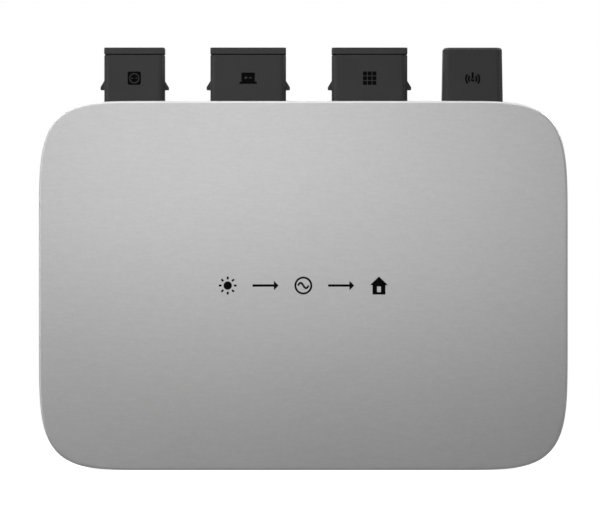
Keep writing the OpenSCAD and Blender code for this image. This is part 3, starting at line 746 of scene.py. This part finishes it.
def floor():
    """A plain pale floor under the object, which fades out at its edge."""
    height = cad_box[0].z
    bm = bmesh.new()
    bm.faces.new([bm.verts.new((x, y, height)) for x, y in circle(0, 0, FLOOR_RADIUS, FLOOR_STEPS)])
    plane = add_object("floor", bm)
    material, tree, shader = new_material("pale_floor")
    shader.inputs["Base Color"].default_value = (0.35, 0.35, 0.35, 1)
    shader.inputs["Roughness"].default_value = 0.9
    shader.inputs["Specular IOR Level"].default_value = 0.0
    shader.inputs["Emission Color"].default_value = (1, 1, 1, 1)
    shader.inputs["Emission Strength"].default_value = 0.9
    place = tree.nodes.new("ShaderNodeTexCoord")
    length = tree.nodes.new("ShaderNodeVectorMath")
    length.operation = "LENGTH"
    tree.links.new(place.outputs["Object"], length.inputs[0])
    fade = tree.nodes.new("ShaderNodeMapRange")
    fade.interpolation_type = "SMOOTHSTEP"
    fade.inputs["From Min"].default_value, fade.inputs["From Max"].default_value = FLOOR_FADE
    fade.inputs["To Min"].default_value = 1
    fade.inputs["To Max"].default_value = 0
    tree.links.new(length.outputs["Value"], fade.inputs["Value"])
    tree.links.new(fade.outputs["Result"], shader.inputs["Alpha"])
    plane.data.materials.append(material)
    plane.visible_diffuse = False
    plane.visible_glossy = False


def softbox(name, at, aim, size, power):
    """A soft rectangular light that the camera doesn't see. Size is its width and height."""
    light = bpy.data.lights.new(name, "AREA")
    light.energy = power
    light.shape = "RECTANGLE"
    light.size, light.size_y = size
    obj = bpy.data.objects.new(name, light)
    bpy.context.scene.collection.objects.link(obj)
    obj.location = at
    obj.rotation_mode = "QUATERNION"
    obj.rotation_quaternion = (Vector(aim) - Vector(at)).to_track_quat("-Z", "Y")
    obj.visible_camera = False


def lights():
    """Soft boxes for the face, strips for its sides, and boxes behind its plane for the rim of its edge."""
    middle = (0, -0.03, 0)
    softbox("front_softbox", (-0.10, -0.90, 0.70), middle, (0.7, 0.7), 3.3)
    softbox("near_softbox", (-0.06, -0.33, 0.17), middle, (0.25, 0.25), 0.175)
    softbox("low_strip", (0.0, -0.25, 0.04), (0.0, -0.03, 0.01), (0.3, 0.1), 0.086)
    softbox("top_softbox", (0.0, -0.15, 0.50), middle, (0.6, 0.4), 1.49)
    softbox("left_strip", (-0.50, -0.20, 0.08), middle, (0.15, 0.5), 0.78)
    softbox("right_strip", (0.50, -0.20, 0.0), middle, (0.15, 0.5), 0.24)
    softbox("left_softbox", (-0.40, -0.35, 0.05), middle, (0.3, 0.3), 0.28)
    softbox("back_softbox", (-0.25, 0.80, 0.55), middle, (0.7, 0.7), 8)
    softbox("left_rim_softbox", (-0.38, 0.07, 0.42), (-0.09, 0, 0.06), (0.16, 0.16), 1.3)
    softbox("right_rim_softbox", (0.41, 0.09, 0.39), (0.09, 0, 0.06), (0.22, 0.22), 1.7)


def world():
    """A white backdrop for the camera, and a dimmer room for the light that falls on the object."""
    sky = bpy.data.worlds.new("studio")
    sky.use_nodes = True
    tree = sky.node_tree
    tree.nodes.clear()
    place = tree.nodes.new("ShaderNodeTexCoord")
    glow = None
    walls = {(0, 0, -1): 0.43, (1, 0, 0): 0.11, (0, -1, 0): 0.04, (0, 1, 0): 0.4}
    for direction, strength in walls.items():
        facing = tree.nodes.new("ShaderNodeVectorMath")
        facing.operation = "DOT_PRODUCT"
        facing.inputs[1].default_value = direction
        tree.links.new(place.outputs["Generated"], facing.inputs[0])
        part = tree.nodes.new("ShaderNodeMapRange")
        part.inputs["To Max"].default_value = strength
        tree.links.new(facing.outputs["Value"], part.inputs["Value"])
        total = tree.nodes.new("ShaderNodeMath")
        total.operation = "ADD"
        total.inputs[1].default_value = 0
        tree.links.new(part.outputs["Result"], total.inputs[0])
        if glow:
            tree.links.new(glow, total.inputs[1])
        glow = total.outputs["Value"]
    room = tree.nodes.new("ShaderNodeBackground")
    room.inputs["Color"].default_value = (1, 1, 1, 1)
    tree.links.new(glow, room.inputs["Strength"])
    backdrop = tree.nodes.new("ShaderNodeBackground")
    backdrop.inputs["Color"].default_value = (1, 1, 1, 1)
    path = tree.nodes.new("ShaderNodeLightPath")
    mix = tree.nodes.new("ShaderNodeMixShader")
    tree.links.new(path.outputs["Is Camera Ray"], mix.inputs["Fac"])
    tree.links.new(room.outputs[0], mix.inputs[1])
    tree.links.new(backdrop.outputs[0], mix.inputs[2])
    out = tree.nodes.new("ShaderNodeOutputWorld")
    tree.links.new(mix.outputs[0], out.inputs["Surface"])
    bpy.context.scene.world = sky


def camera():
    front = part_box("front_cover")[0].y
    data = bpy.data.cameras.new("camera")
    data.lens = LENS_MM
    data.sensor_width = SENSOR_MM
    distance = VIEW_WIDTH * LENS_MM / SENSOR_MM
    data.clip_start = 0.1
    data.clip_end = 50
    obj = bpy.data.objects.new("camera", data)
    bpy.context.scene.collection.objects.link(obj)
    obj.location = (VIEW_CENTRE_X, front - distance, VIEW_CENTRE_Z)
    obj.rotation_euler = (math.pi / 2, 0, 0)
    bpy.context.scene.camera = obj


bpy.context.scene.view_settings.view_transform = "Standard"
paint_cad_nodes()
front_shell()
for port in PORTS:
    socket_shell(port)
    dust_cap(port)
antenna_block()
signs()
floor()
lights()
world()
camera()
